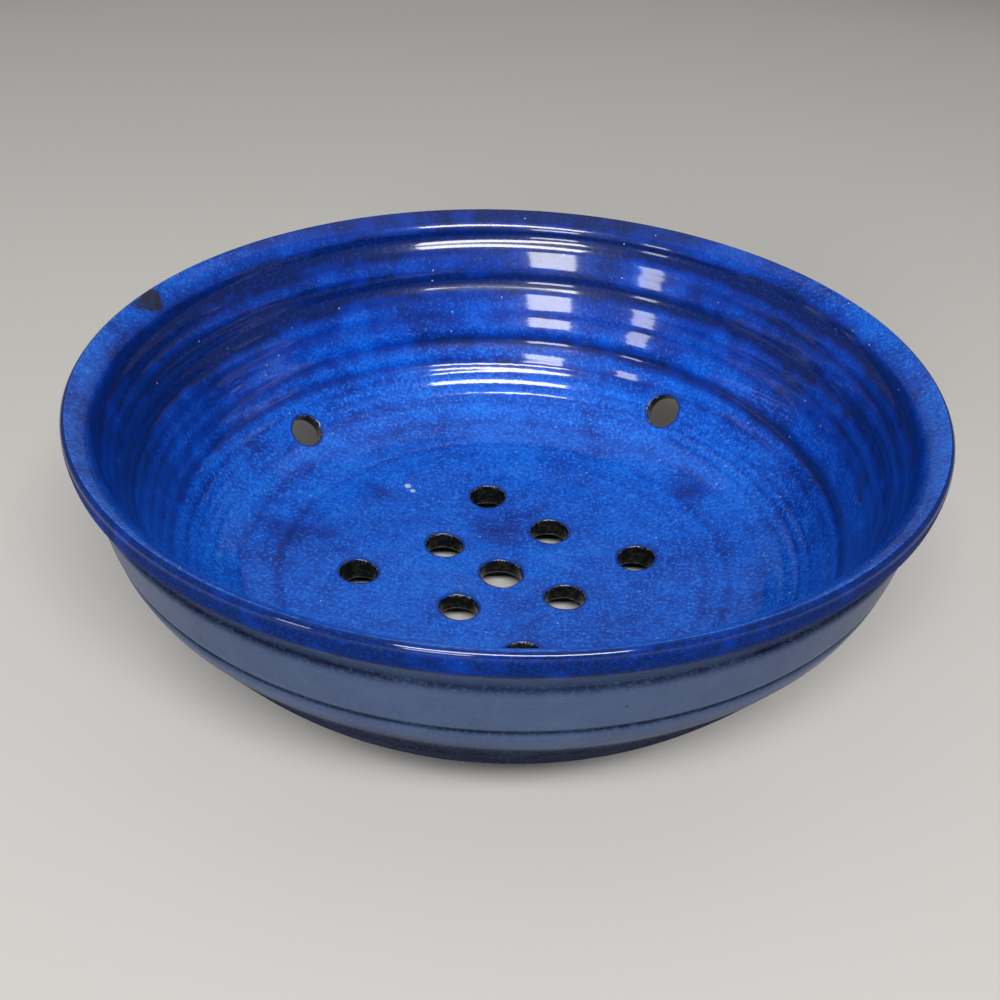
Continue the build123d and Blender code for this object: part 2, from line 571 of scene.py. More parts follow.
def bell(value: np.ndarray, middle: Union[np.ndarray, float], width: float) -> np.ndarray:
    """Return a soft bump of a value: 1 at its middle, fading over its width."""
    return np.exp(-(((value - middle) / width) ** 2))


def spaced(line: np.ndarray, step: float) -> np.ndarray:
    """Respace a line's points evenly.

    Args:
        line: The points of the line.
        step: The distance wanted between points.

    Returns:
        The respaced points.
    """
    run = np.concatenate([[0.0], np.cumsum(np.linalg.norm(np.diff(line, axis=0), axis=1))])
    keep = np.concatenate([[True], np.diff(run) > 1e-9])
    even = np.linspace(0.0, run[-1], max(2, int(run[-1] / step)))
    return np.column_stack([np.interp(even, run[keep], line[keep, axis]) for axis in (0, 1)])


@dataclass
class TurnedLine:
    """A line of the section with its running length, on which every skin point is found."""

    points: np.ndarray
    run: np.ndarray = field(init=False)
    normal: np.ndarray = field(init=False)

    def __post_init__(self) -> None:
        """Measure the line and its normals, which lean to the right of its direction."""
        step = np.linalg.norm(np.diff(self.points, axis=0), axis=1)
        self.run = np.concatenate([[0.0], np.cumsum(step)])
        along = np.gradient(self.points, self.run, axis=0)
        along /= np.linalg.norm(along, axis=1)[:, None]
        self.normal = np.column_stack([-along[:, 1], along[:, 0]])

    def at(self, run: np.ndarray) -> tuple[np.ndarray, np.ndarray]:
        """Find places on the line.

        Args:
            run: Running lengths.

        Returns:
            The points and the normals there.
        """
        point = np.column_stack([np.interp(run, self.run, self.points[:, k]) for k in (0, 1)])
        normal = np.column_stack([np.interp(run, self.run, self.normal[:, k]) for k in (0, 1)])
        return point, normal / np.linalg.norm(normal, axis=1)[:, None]

    def run_at_radius(self, radius: np.ndarray) -> np.ndarray:
        """Return the running lengths at radii. The line only widens."""
        return np.interp(radius, self.points[:, 0], self.run)

    def height_at(self, radius: np.ndarray) -> np.ndarray:
        """Return the heights at radii. The line only widens."""
        return np.interp(radius, self.points[:, 0], self.points[:, 1])


@dataclass
class BowlSection:
    """The bowl's turned section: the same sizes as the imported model, melted soft by the glaze."""

    rim_radius: float = 110.0
    height: float = 75.0
    foot_radius: float = 56.0
    foot_width: float = 7.0
    foot_taper: float = 1.0
    foot_join: float = 6.6
    recess_depth: float = 5.6
    floor_thickness: float = 4.6
    dish_radius: float = 420.0
    wall_slope: float = 69.0
    knuckle_radius: float = 34.0
    flare_width: float = 6.4
    flare_height: float = 6.2
    crest_width: float = 1.0
    belly_thickness: float = 4.4
    belly_slopes: tuple[float, ...] = (60.0, 44.0, 26.0)
    outside_steps: tuple[tuple[float, float], ...] = (
        (0.08, 0.9),
        (0.0, 2.9),
        (0.5, 5.8),
        (4.9, 12.0),
        (4.2, 13.8),
        (6.8, 25.6),
        (7.9, 27.2),
        (7.6, 28.8),
        (9.4, 33.0),
    )
    melt: float = 0.55
    belly_melt: float = 4.0
    crest_melt: float = 0.28
    belly_ends: tuple[int, int] = (20, 10)
    crest_ends: tuple[int, int] = (4, 12)
    step: float = 0.2
    inside: TurnedLine = field(init=False)
    outside: TurnedLine = field(init=False)
    belly: TurnedLine = field(init=False)
    under: TurnedLine = field(init=False)
    knuckle: np.ndarray = field(init=False)

    def __post_init__(self) -> None:
        """Draw the section's lines."""
        dish = np.array([0.0, self.floor_top + self.dish_radius])
        slope = math.radians(self.wall_slope)
        up_wall = np.array([math.cos(slope), math.sin(slope)])
        inward = np.array([-up_wall[1], up_wall[0]])
        crest = np.array([self.rim_radius - self.crest_width, self.height])
        wall_top = crest - np.array([self.flare_width, self.flare_height])
        reach = self.dish_radius - self.knuckle_radius
        start = wall_top + inward * self.knuckle_radius - dish
        along = float(start @ up_wall)
        drop = along + math.sqrt(along**2 - float(start @ start) + reach**2)
        knuckle = wall_top + inward * self.knuckle_radius - up_wall * drop
        lean = math.degrees(math.asin(knuckle[0] / reach))
        self.knuckle = knuckle
        floor = arc(dish, self.dish_radius, -90, lean - 90)
        turn = arc(knuckle, self.knuckle_radius, lean - 90, self.wall_slope - 90)
        chord = crest - wall_top
        bend = float(chord @ chord) / (2 * float(chord @ -inward))
        hub = wall_top - inward * bend
        end = math.degrees(math.atan2(*(crest - hub)[::-1]))
        begin = math.degrees(math.atan2(*(wall_top - hub)[::-1]))
        flare = arc(hub, bend, begin, end)
        steps = [(self.rim_radius - back, self.height - fall) for back, fall in self.outside_steps]
        wide = self.knuckle_radius + self.belly_thickness
        belly = [
            knuckle + wide * np.array([math.sin(math.radians(a)), -math.cos(math.radians(a))])
            for a in self.belly_slopes
        ]
        recess = self.foot_radius - self.foot_width
        foot = [
            (self.foot_radius + self.foot_taper, self.foot_join),
            (self.foot_radius, 0.0),
            (recess, 0.0),
        ]
        under = [(recess - self.foot_taper, self.recess_depth), (0.0, self.recess_depth)]
        whole = np.vstack([floor, turn[1:], flare[1:], steps, belly, foot, under])
        soft = self._melted(spaced(whole, self.step), belly[0], belly[-1])
        top = int(np.argmax(soft[:, 1]))
        self.inside = TurnedLine(soft[: top + 1])
        self.outside = TurnedLine(soft[top:])
        low = self.outside.points
        bottom = int(np.argmin(np.abs(low[:, 0] - self.foot_radius - 2 * self.foot_taper)))
        waist = int(np.argmax(low[:, 1] < self.height - self.outside_steps[-1][1]))
        self.belly = TurnedLine(low[waist:bottom][::-1])
        self.under = TurnedLine(low[low.shape[0] - self._under_count(low, recess) :][::-1])

    @property
    def floor_top(self) -> float:
        """Height of the floor inside, on the axis."""
        return self.recess_depth + self.floor_thickness

    def _under_count(self, low: np.ndarray, recess: float) -> int:
        """Return how many of the outside line's last points lie under the floor."""
        inner = low[::-1, 0] < recess - 1.3 * self.foot_taper
        return int(np.argmin(inner))

    def _melted(self, line: np.ndarray, first: np.ndarray, last: np.ndarray) -> np.ndarray:
        """Round a line's corners, more along the belly, which was trimmed with a loop tool.

        Args:
            line: Evenly spaced points.
            first: The belly's top corner.
            last: The belly's bottom corner.

        Returns:
            The rounded points.
        """
        spread = np.full(len(line), self.melt)
        begin = int(np.argmin(np.linalg.norm(line - first, axis=1)))
        end = int(np.argmin(np.linalg.norm(line - last, axis=1)))
        before, after = self.belly_ends
        spread[begin - before : end + after] = self.belly_melt
        top = int(np.argmax(line[:, 1]))
        before, after = self.crest_ends
        spread[top - before : top + after] = self.crest_melt
        rounds = int(math.ceil((self.belly_melt / self.step) ** 2))
        share = (spread / self.step) ** 2 / rounds
        soft = line.copy()
        for _ in range(rounds):
            middle = (soft[:-2] + soft[2:]) / 2
            soft[1:-1] += share[1:-1, None] * (middle - soft[1:-1])
            soft[0, 1], soft[-1, 1] = soft[1, 1], soft[-2, 1]
        return soft


# ---- What the hand left ----


@dataclass(frozen=True)
class ThrowingRing:
    """A groove that a fingertip left inside the bowl.

    Its width is measured along the radius. A reach above 0 limits it to an arc about its centre,
    both in degrees.
    """

    radius: float
    depth: float
    width: float
    sway: float = 0.4
    centre: float = 0.0
    reach: float = 0.0


@dataclass(frozen=True)
class DrainHole:
    """A punched drain hole."""

    seat: Seat
    angle: float
    radius: float
    lean: float
    bore: float
    mouth: float
    seed: int


@dataclass
class HandMarks:
    """Rings, unevenness and the bare patch, as depths and masks over the skin, with painted shade
    and painted sheen in the pool masks.
    """

    rings: tuple[ThrowingRing, ...] = (
        ThrowingRing(102.0, 0.60, 0.9, 0.3),
        ThrowingRing(97.2, 0.60, 0.9, 0.3),
        ThrowingRing(93.8, 0.24, 0.7, 0.4),
        ThrowingRing(90.2, 0.55, 0.8, 0.4),
        ThrowingRing(100.3, 0.36, 0.5, 0.2, 176.0, 62.0),
        ThrowingRing(98.7, 0.34, 0.5, 0.2, 172.0, 60.0),
        ThrowingRing(95.6, 0.38, 0.5, 0.2, 178.0, 62.0),
        ThrowingRing(92.1, 0.32, 0.6, 0.2, 184.0, 58.0),
        ThrowingRing(99.6, 0.26, 0.5, 0.2, 8.0, 55.0),
        ThrowingRing(95.2, 0.26, 0.5, 0.2, 4.0, 50.0),
        ThrowingRing(87.6, 0.34, 0.9, 0.5),
        ThrowingRing(85.0, 0.26, 0.75, 0.4),
        ThrowingRing(82.8, 0.26, 0.75, 0.4),
        ThrowingRing(80.6, 0.24, 0.75, 0.4),
        ThrowingRing(78.0, 0.20, 0.9, 0.5),
        ThrowingRing(71.5, 0.18, 1.4, 0.6),
        ThrowingRing(62.6, 0.26, 1.1, 0.7),
        ThrowingRing(57.5, 0.10, 1.2, 0.8),
    )
    blotches: tuple[tuple[float, float, float, float], ...] = (
        (56.7, 37.5, 6.5, 0.50),
        (-51.4, 12.5, 5.0, 0.50),
        (-0.9, 20.5, 7.5, 0.35),
        (-62.4, 10.7, 6.0, 0.45),
        (-38.6, 33.5, 5.0, 0.45),
    )
    wall_pool: float = 0.50
    wall_line: float = 91.0
    lip_line: float = 104.5
    # How much darker the far side of the lip is painted: painted shade.
    far_lip_shade: float = 0.85
    lip_thin: float = 0.46
    knuckle_line: float = 80.0
    knuckle_width: float = 7.0
    # How much paler the knuckle is painted: painted sheen.
    knuckle_sheen: float = 0.14
    # Height below which the belly and base are painted darker: painted shade.
    shaded_belly_line: float = 40.5
    groove_lines: tuple[tuple[float, float], ...] = ((62.4, 1.3), (47.9, 0.8))
    patch_angle: float = 160.4
    patch_radius: float = 107.0
    patch_height: float = 74.6
    patch_size: float = 5.2
    uneven: float = 0.10
    waves: int = 9

    def inside_depth(self, radius: np.ndarray, angle: np.ndarray) -> np.ndarray:
        """Return how deep the rings are pressed in at points of the inside.

        Args:
            radius: Distances from the axis.
            angle: Angles about it, in radians.

        Returns:
            Depths in millimetres.
        """
        depth = np.zeros_like(radius)
        for number, ring in enumerate(self.rings):
            phase = 1.7 * number
            middle = ring.radius + ring.sway * (
                np.sin(angle + phase) + 0.5 * np.sin(2 * angle + 2.3 * phase)
            )
            press = ring.depth * (1 + 0.35 * np.sin(angle + 2.9 * phase))
            if ring.reach:
                away = np.angle(np.exp(1j * (angle - math.radians(ring.centre))))
                press = press * bell(away, 0.0, math.radians(ring.reach))
            depth += press * bell(radius, middle, ring.width)
        return depth

    def inside_pool_shade_and_sheen(self, radius: np.ndarray, angle: np.ndarray) -> np.ndarray:
        """Return how the glaze's thickness changes from the floor to the lip, with painted shade
        and painted sheen.

        Args:
            radius: Distances from the axis.
            angle: Angles about it, in radians.

        Returns:
            More than 0 on the wall, where two dips overlap, and more on the far side of the lip,
            which is painted shade;
            less on the knuckle, which is painted sheen.
        """
        wall = self.wall_pool / (1 + np.exp((self.wall_line - radius) / 2.5))
        lip = 1 / (1 + np.exp((self.lip_line - radius) / 0.6))
        # The far side of the lip, towards +y, is painted darker here: painted shade, not thicker
        # glaze.
        back = np.clip(np.sin(angle), 0.0, 1.0) ** 2
        pool = wall + lip * (self.far_lip_shade * back - self.lip_thin)
        # The knuckle is painted paler: painted sheen.
        pool = pool - self.knuckle_sheen * bell(radius, self.knuckle_line, self.knuckle_width)
        across, away = radius * np.cos(angle), radius * np.sin(angle)
        for middle, rear, size, amount in self.blotches:
            spread = ((across - middle) ** 2 + (away - rear) ** 2) / size**2
            pool = pool + amount * np.exp(-spread)
        return pool

    def outside_pool_and_shade(self, height: np.ndarray, angle: np.ndarray) -> np.ndarray:
        """Return how thick the glaze lies on the outside, with painted shade below the belly.

        Args:
            height: Heights above the foot.
            angle: Angles about the axis, in radians.

        Returns:
            0 where it is even and 1 where it pooled in the grooves; near 1 below the belly line,
            which is painted shade.
        """
        sag = 0.8 * np.sin(3 * angle + 0.4) + 0.5 * np.sin(7 * angle + 1.9)
        # Below the belly line the colour is painted darker: painted shade on the downward-facing
        # belly and base.
        belly = 1 / (1 + np.exp((height - self.shaded_belly_line - sag) / 1.1))
        grooves = 0.0
        for middle, width in self.groove_lines:
            grooves = grooves + bell(height, middle, width)
        return np.clip(0.9 * belly + 0.9 * grooves, 0.0, 1.0)

    def unevenness(self, run: np.ndarray, angle: np.ndarray, seed: int) -> np.ndarray:
        """Work out a slow wander of the surface.

        Args:
            run: Lengths along the surface.
            angle: Angles about the axis, in radians.
            seed: The seed of its waves.

        Returns:
            Heights in millimetres.
        """
        rng = np.random.default_rng(seed)
        wander = np.zeros_like(run)
        for _ in range(self.waves):
            around = int(rng.integers(0, 6))
            along = rng.uniform(12.0, 50.0)
            phase = rng.uniform(0, TURN)
            wander += np.sin(around * angle + TURN * run / along + phase)
        return self.uneven * wander / 3.0

    def bare_patch(self, place: np.ndarray) -> np.ndarray:
        """Mark the patch of the lip that the glaze crawled back from.

        Args:
            place: Points in millimetres.

        Returns:
            1 in the patch, falling to 0 round its ragged edge.
        """
        turn = math.radians(self.patch_angle)
        out = np.array([math.cos(turn), math.sin(turn), 0.0])
        along = np.array([-math.sin(turn), math.cos(turn), 0.0])
        offset = place - self.patch_radius * out - np.array([0.0, 0.0, self.patch_height])
        away = np.linalg.norm(offset, axis=1)
        heading = np.arctan2(offset[:, 2] - offset @ out, offset @ along)
        ragged = 1.0 + 0.20 * np.sin(3.0 * heading + 0.6) + 0.12 * np.sin(7.0 * heading + 2.1)
        return np.clip(1.5 - away / (self.patch_size * ragged), 0.0, 1.0)


# ---- The skin of the whole pot ----


@dataclass
class PotSkin:
    """The finished surface of the pot as one closed mesh, from which the pieces are cut."""

    section: BowlSection
    marks: HandMarks
    holes: list[DrainHole]
    columns: int = 240
    hole_columns: int = 40
    fillet_rows: int = 6
    bore_rows: int = 6
    floor_step: float = 1.7
    band_step: float = 1.5
    wall_step: float = 0.9
    ring_step: float = 0.5
    lip_step: float = 0.45
    foot_step: float = 0.6
    lip_length: float = 10.0
    floor_lines: tuple[float, ...] = (54.0, 70.5, 95.0)
    belly_lines: tuple[float, ...] = (97.0, 71.0)
    wiped_height: float = 2.2
    collars: tuple[float, ...] = (0.7, 1.7, 3.0)
    mouth_mark: float = 0.62
    wiped_mark: float = 0.8
    probe: float = 16.0
    probe_rounds: int = 40
    fill_reach: float = 30.0
    hole_reach: float = 20.0
    collar_rise: float = 0.10
    rim_pull: float = 0.06
    rim_sag: float = 0.15
    lip_radius: float = 104.0
    lip_edge_height: float = 68.3
    lip_height: float = 67.6
    crest_height: float = 72.9
    foot_inside: float = 45.0
    wiped_line: float = 2.4
    coat: float = 0.5
    wiped_coat: float = 0.12
    inside_seed: int = 11
    outside_seed: int = 23
    faces: list[tuple[int, ...]] = field(default_factory=list)
    regions: list[Region] = field(default_factory=list)
    count: int = 0

    def __post_init__(self) -> None:
        """Build the skin's points and faces."""
        self.keys: list[tuple[TurnedLine, np.ndarray, np.ndarray, np.ndarray]] = []
        self._tops: dict[int, np.ndarray] = {}
        self._bottoms: dict[int, np.ndarray] = {}
        self.hole_turn = np.arange(self.hole_columns) * TURN / self.hole_columns
        self._build_sheets()
        self._settle()
        self._build_bores()
        self._measure()

    # -- points --

    def _add(self, line: TurnedLine, run: np.ndarray, angle: np.ndarray) -> np.ndarray:
        """Add points of a turned line.

        Args:
            line: The line.
            run: Running lengths along it.
            angle: Angles about the axis.

        Returns:
            The new points' numbers.
        """
        numbers = np.arange(self.count, self.count + len(run))
        self.keys.append((line, np.asarray(run, float), np.asarray(angle, float), numbers))
        self.count += len(run)
        return numbers

    def _ring(self, line: TurnedLine, run: float) -> np.ndarray:
        """Add one full ring of points."""
        angle = np.arange(self.columns) * TURN / self.columns
        return self._add(line, np.full(self.columns, run), angle)

    def _stitch(self, lower: np.ndarray, upper: np.ndarray, region: Region) -> None:
        """Join two rings by quads that face to the left of the line's run.

        Args:
            lower: The ring that comes first along the line.
            upper: The ring after it.
            region: The coat that the faces belong to.
        """
        ahead_low, ahead_up = np.roll(lower, -1), np.roll(upper, -1)
        for a, b, c, d in zip(lower, upper, ahead_up, ahead_low):
            self.faces.append((int(a), int(b), int(c), int(d)))
            self.regions.append(region)

    def _climb(
        self, line: TurnedLine, rows: list[float], last: np.ndarray, region: Region
    ) -> np.ndarray:
        """Add a ring at each row and join it to the ring before.

        Args:
            line: The line of the surface.
            rows: Running lengths of the rings.
            last: The ring to start from.
            region: The coat that the faces belong to.

        Returns:
            The last ring.
        """
        for run in rows:
            ring = self._ring(line, run)
            self._stitch(last, ring, region)
            last = ring
        return last

    @staticmethod
    def _rows(start: float, end: float, step: float) -> list[float]:
        """Return evenly spaced running lengths, both ends included."""
        return list(np.linspace(start, end, max(2, int(round(abs(end - start) / step)) + 1)))

    # -- holes --

    def hole_axes(self, hole: DrainHole) -> tuple[np.ndarray, np.ndarray, np.ndarray, np.ndarray]:
        """Find a hole's centre on the inside and its directions.

        Args:
            hole: The hole.

        Returns:
            Its centre, the direction round the bowl, the direction up the wall and its axis inward.
        """
        turn = math.radians(hole.angle)
        out = np.array([math.cos(turn), math.sin(turn), 0.0])
        around = np.array([-math.sin(turn), math.cos(turn), 0.0])
        centre = out * hole.radius
        centre[2] = float(self.section.inside.height_at(np.array([hole.radius]))[0])
        lean = math.radians(hole.lean)
        up = math.cos(lean) * out + np.array([0.0, 0.0, math.sin(lean)])
        axis = -math.sin(lean) * out + np.array([0.0, 0.0, math.cos(lean)])
        return centre, around, up, axis

    def hole_outline(self, hole: DrainHole, grow: float) -> np.ndarray:
        """Return a hole's radius at each of its columns.

        Args:
            hole: The hole.
            grow: What to add to the bore.

        Returns:
            The radii, which wander because the hole was punched by hand.
        """
        rng = np.random.default_rng(hole.seed)
        turn = self.hole_turn
        wander = 0.030 * np.sin(2 * turn + rng.uniform(0, TURN))
        wander += 0.014 * np.sin(3 * turn + rng.uniform(0, TURN))
        wander += 0.008 * np.sin(7 * turn + rng.uniform(0, TURN))
        return hole.bore / 2 * (1 + wander) + grow

    def _mouth(
        self, line: TurnedLine, hole: DrainHole, grow: float
    ) -> tuple[np.ndarray, np.ndarray]:
        """Find where a grown hole meets a line's surface.

        Args:
            line: The line of the surface.
            hole: The hole.
            grow: What to add to its bore.

        Returns:
            Running lengths and angles of the outline's points.
        """
        centre, around, up, axis = self.hole_axes(hole)
        turn, size = self.hole_turn, self.hole_outline(hole, grow)
        base = centre - np.outer(size * np.cos(turn), around) + np.outer(size * np.sin(turn), up)
        high = np.full(self.hole_columns, self.probe)
        low = -high
        for _ in range(self.probe_rounds):
            slide = (low + high) / 2
            spot = base + slide[:, None] * axis
            over = spot[:, 2] > line.height_at(np.hypot(spot[:, 0], spot[:, 1]))
            high, low = np.where(over, slide, high), np.where(over, low, slide)
        spot = base + slide[:, None] * axis
        radius = np.hypot(spot[:, 0], spot[:, 1])
        return line.run_at_radius(radius), np.arctan2(spot[:, 1], spot[:, 0])

    # -- sheets --

    def _fill(
        self,
        line: TurnedLine,
        inner: Optional[np.ndarray],
        outer: np.ndarray,
        rows: list[float],
        holes: list[int],
        mouths: dict[int, np.ndarray],
        region: Region,
        flip: bool,
    ) -> None:
        """Fill a disc or a band with triangles round its holes.

        Args:
            line: The line of its surface.
            inner: The ring inside the band, or None for a disc.
            outer: The ring round it.
            rows: Running lengths of the loose rings between them.
            holes: The numbers of the holes in it.
            mouths: Where to keep the mouth ring of each hole.
            region: The coat that the faces belong to.
            flip: Whether the faces look down.
        """
        loops: list[np.ndarray] = [outer] if inner is None else [outer, inner]
        loose: list[tuple[np.ndarray, np.ndarray]] = []
        for number in holes:
            hole = self.holes[number]
            run, angle = self._mouth(line, hole, hole.mouth)
            mouths[number] = self._add(line, run, angle)
            loops.append(mouths[number])
            for extra in self.collars:
                loose.append(self._mouth(line, hole, hole.mouth + extra))
        for row_number, run in enumerate(rows):
            radius = float(line.at(np.array([run]))[0][0, 0])
            share = min(1.0, radius * TURN / self.columns / 0.9)
            count = max(12, int(self.columns * share))
            shift = 0.5 * (row_number % 2) if inner is None else 0.0
            angle = (np.arange(count) + shift) * TURN / count
            loose.append((np.full(count, run), angle))
        if inner is None:
            loose.append((np.array([0.0]), np.array([0.0])))
        runs = np.concatenate([pair[0] for pair in loose])
        angles = np.concatenate([pair[1] for pair in loose])
        good = runs < self._key(outer)[0].max() - 0.5
        if inner is not None:
            good &= runs > self._key(inner)[0].min() + 0.5
        placed = self._plain(line, runs, angles)
        own_count = len(self.collars) * self.hole_columns
        graded = np.arange(len(runs)) < len(holes) * own_count
        for order, number in enumerate(holes):
            centre, _, _, axis = self.hole_axes(self.holes[number])
            away = np.linalg.norm(np.cross(placed - centre, axis), axis=1)
            near = np.linalg.norm(placed - centre, axis=1) < self.fill_reach
            own = np.zeros(len(runs), bool)
            own[order * own_count : (order + 1) * own_count] = True
            rim = self.holes[number].bore / 2 + self.holes[number].mouth
            good &= own | ~near | (away > rim + np.where(graded, 1.0, 4.0))
        free = self._add(line, runs[good], angles[good])
        numbers = np.concatenate(loops + [free])
        flat_run = np.concatenate([self._key(loop)[0] for loop in loops] + [runs[good]])
        flat_angle = np.concatenate([self._key(loop)[1] for loop in loops] + [angles[good]])
        flat = np.column_stack([flat_run * np.cos(flat_angle), flat_run * np.sin(flat_angle)])
        edges: list[tuple[int, int]] = []
        loop_of = np.full(len(numbers), -1)
        start = 0
        for loop_number, loop in enumerate(loops):
            size = len(loop)
            edges += [(start + k, start + (k + 1) % size) for k in range(size)]
            if loop_number > 0:
                loop_of[start : start + size] = loop_number
            start += size
        found = delaunay_2d_cdt([Vector(p) for p in flat], edges, [], 0, 1e-6, True)
        origin = [ids[0] for ids in found[3]]
        for triangle in found[2]:
            corner = [origin[k] for k in triangle]
            tags = loop_of[corner]
            if tags[0] >= 0 and (tags == tags[0]).all():
                continue
            a, b, c = flat[corner[0]], flat[corner[1]], flat[corner[2]]
            turned = (b[0] - a[0]) * (c[1] - a[1]) - (b[1] - a[1]) * (c[0] - a[0])
            if (turned > 0) == flip:
                corner = corner[::-1]
            self.faces.append(tuple(int(numbers[k]) for k in corner))
            self.regions.append(region)

    def _key(self, numbers: np.ndarray) -> tuple[np.ndarray, np.ndarray]:
        """Return the running lengths and angles of points that were added together."""
        return next(key[1:3] for key in self.keys if key[3][0] == numbers[0])

    @staticmethod
    def _plain(line: TurnedLine, run: np.ndarray, angle: np.ndarray) -> np.ndarray:
        """Return points of a line's surface before the hand's marks."""
        point, _ = line.at(run)
        return np.column_stack(
            [point[:, 0] * np.cos(angle), point[:, 0] * np.sin(angle), point[:, 1]]
        )

    def _build_sheets(self) -> None:
        """Build the inside, the outside, the foot and the base, with openings for the holes."""
        section = self.section
        inside, outside = section.inside, section.outside
        floor = [k for k, hole in enumerate(self.holes) if hole.seat is Seat.FLOOR]
        wall = [k for k, hole in enumerate(self.holes) if hole.seat is Seat.WALL]
        floor_end, band_start, band_end = (
            float(run) for run in inside.run_at_radius(np.array(self.floor_lines))
        )
        # Inside: floor disc, plain ring, band of wall holes, wall and lip
        ring_a = self._ring(inside, floor_end)
        rows = self._rows(0.0, floor_end, self.floor_step)[1:-1]
        self._fill(inside, None, ring_a, rows, floor, self._tops, Region.INSIDE, False)
        rows = self._rows(floor_end, band_start, self.wall_step)[1:]
        last = self._climb(inside, rows, ring_a, Region.INSIDE)
        ring_b = self._ring(inside, band_end)
        rows = self._rows(band_start, band_end, self.ring_step)[1:-1]
        self._fill(inside, last, ring_b, rows, wall, self._tops, Region.INSIDE, False)
        lip_start = inside.run[-1] - self.lip_length
        rows = self._rows(band_end, lip_start, self.ring_step)[1:]
        rows += self._rows(lip_start, inside.run[-1], self.lip_step)[1:]
        last = self._climb(inside, rows, ring_b, Region.INSIDE)
        # Outside: lip and bands, band of wall holes, lower belly, foot, base disc
        belly, under = section.belly, section.under
        belly_top, belly_low = (
            float(run) for run in belly.run_at_radius(np.array(self.belly_lines))
        )
        out_top = self._outside_run(belly, belly_top)
        out_low = self._outside_run(belly, belly_low)
        rows = self._rows(0.0, out_top, self.lip_step)[1:-1]
        last = self._climb(outside, rows, last, Region.OUTSIDE)
        ring_c = self._climb(belly, [belly_top], last, Region.OUTSIDE)
        ring_d = self._ring(belly, belly_low)
        rows = self._rows(belly_low, belly_top, self.band_step)[1:-1]
        self._fill(belly, ring_d, ring_c, rows, wall, self._bottoms, Region.OUTSIDE, True)
        last = ring_d
        under_end = float(under.run[-1])
        out_under = self._outside_run(under, under_end)
        rows = self._rows(out_low, out_under, self.foot_step)[1:-1]
        heights = outside.at(np.array(rows))[0]
        for run, (radius, height) in zip(rows, heights):
            bare = height < self.wiped_height
            inner = radius < section.foot_radius - section.foot_width / 2
            region = Region.FOOT if bare else Region.BASE if inner else Region.OUTSIDE
            last = self._climb(outside, [run], last, region)
        ring_e = self._climb(under, [under_end], last, Region.BASE)
        rows = self._rows(0.0, under_end, self.floor_step)[1:-1]
        self._fill(under, None, ring_e, rows, floor, self._bottoms, Region.BASE, True)

    def _outside_run(self, part: TurnedLine, run: float) -> float:
        """Find a place of one of the outside line's parts on the whole line.

        Args:
            part: The part.
            run: A running length along it.

        Returns:
            The nearest running length along the outside line.
        """
        spot = part.at(np.array([run]))[0][0]
        outside = self.section.outside
        return float(outside.run[np.argmin(np.linalg.norm(outside.points - spot, axis=1))])

    # -- relief --

    def _settle(self) -> None:
        """Place all sheet points, pressed and raised as the hand left them."""
        self.place = np.zeros((self.count, 3))
        self.pool = np.zeros(self.count)
        self.edge = np.zeros(self.count)
        for line, run, angle, numbers in self.keys:
            point, normal = line.at(run)
            if line is self.section.inside:
                depth = self.marks.inside_depth(point[:, 0], angle)
                # The inside pool mask also takes painted shade and painted sheen.
                self.pool[numbers] = depth / 0.80 + self.marks.inside_pool_shade_and_sheen(point[:, 0], angle)
                depth = depth - self.marks.unevenness(run, angle, self.inside_seed)
            else:
                if line is self.section.belly or line is self.section.under:
                    normal = -normal
                # The outside pool mask also takes painted shade below the belly.
                self.pool[numbers] = self.marks.outside_pool_and_shade(point[:, 1], angle)
                wander = self.marks.unevenness(point[:, 1] * 1.7, angle, self.outside_seed)
                depth = np.where(point[:, 1] < 3.0, 0.0, -0.4 * wander)
            rise = np.clip(point[:, 1] / self.section.height, 0.0, 1.0) ** 2
            depth = depth * np.where(rise > 0.97, 0.2, 1.0)
            radius = point[:, 0] - depth * normal[:, 0]
            radius = radius - rise * self.rim_pull * (1 + np.sin(2 * angle + 0.8))
            sag = 1 + np.sin(2 * angle + 2.1) * 0.7 + np.sin(3 * angle) * 0.3
            height = point[:, 1] - depth * normal[:, 1] - rise * self.rim_sag * sag
            self.place[numbers] = np.column_stack(
                [radius * np.cos(angle), radius * np.sin(angle), height]
            )
        for hole in self.holes:
            centre, _, _, axis = self.hole_axes(hole)
            offset = self.place - centre
            away = np.linalg.norm(np.cross(offset, axis), axis=1) - hole.bore / 2 - hole.mouth
            near = np.linalg.norm(offset, axis=1) < self.hole_reach
            collar = np.where(near, bell(away, 1.0, 1.1), 0.0)
            top = near & (offset @ axis > -3.0)
            self.place += np.where(top, self.collar_rise * collar, 0.0)[:, None] * axis
            worn = bell(np.maximum(away, 0.0), 0.0, 0.5) * self.mouth_mark
            self.edge = np.maximum(self.edge, np.where(near, worn, 0.0))

    def _fillet(
        self, mouth: np.ndarray, size: float, outward: np.ndarray, axis: np.ndarray
    ) -> list[np.ndarray]:
        """Round a hole's mouth into its bore.

        Args:
            mouth: The mouth's ring of points.
            size: The radius of the rounding.
            outward: The directions from the hole's axis to those points.
            axis: The direction out of the hole at this mouth.

        Returns:
            The rings from the mouth to the bore.
        """
        bends = math.pi / 2 * np.arange(1, self.fillet_rows + 1) / self.fillet_rows
        return [mouth - size * (np.sin(b) * outward + (1 - np.cos(b)) * axis) for b in bends]

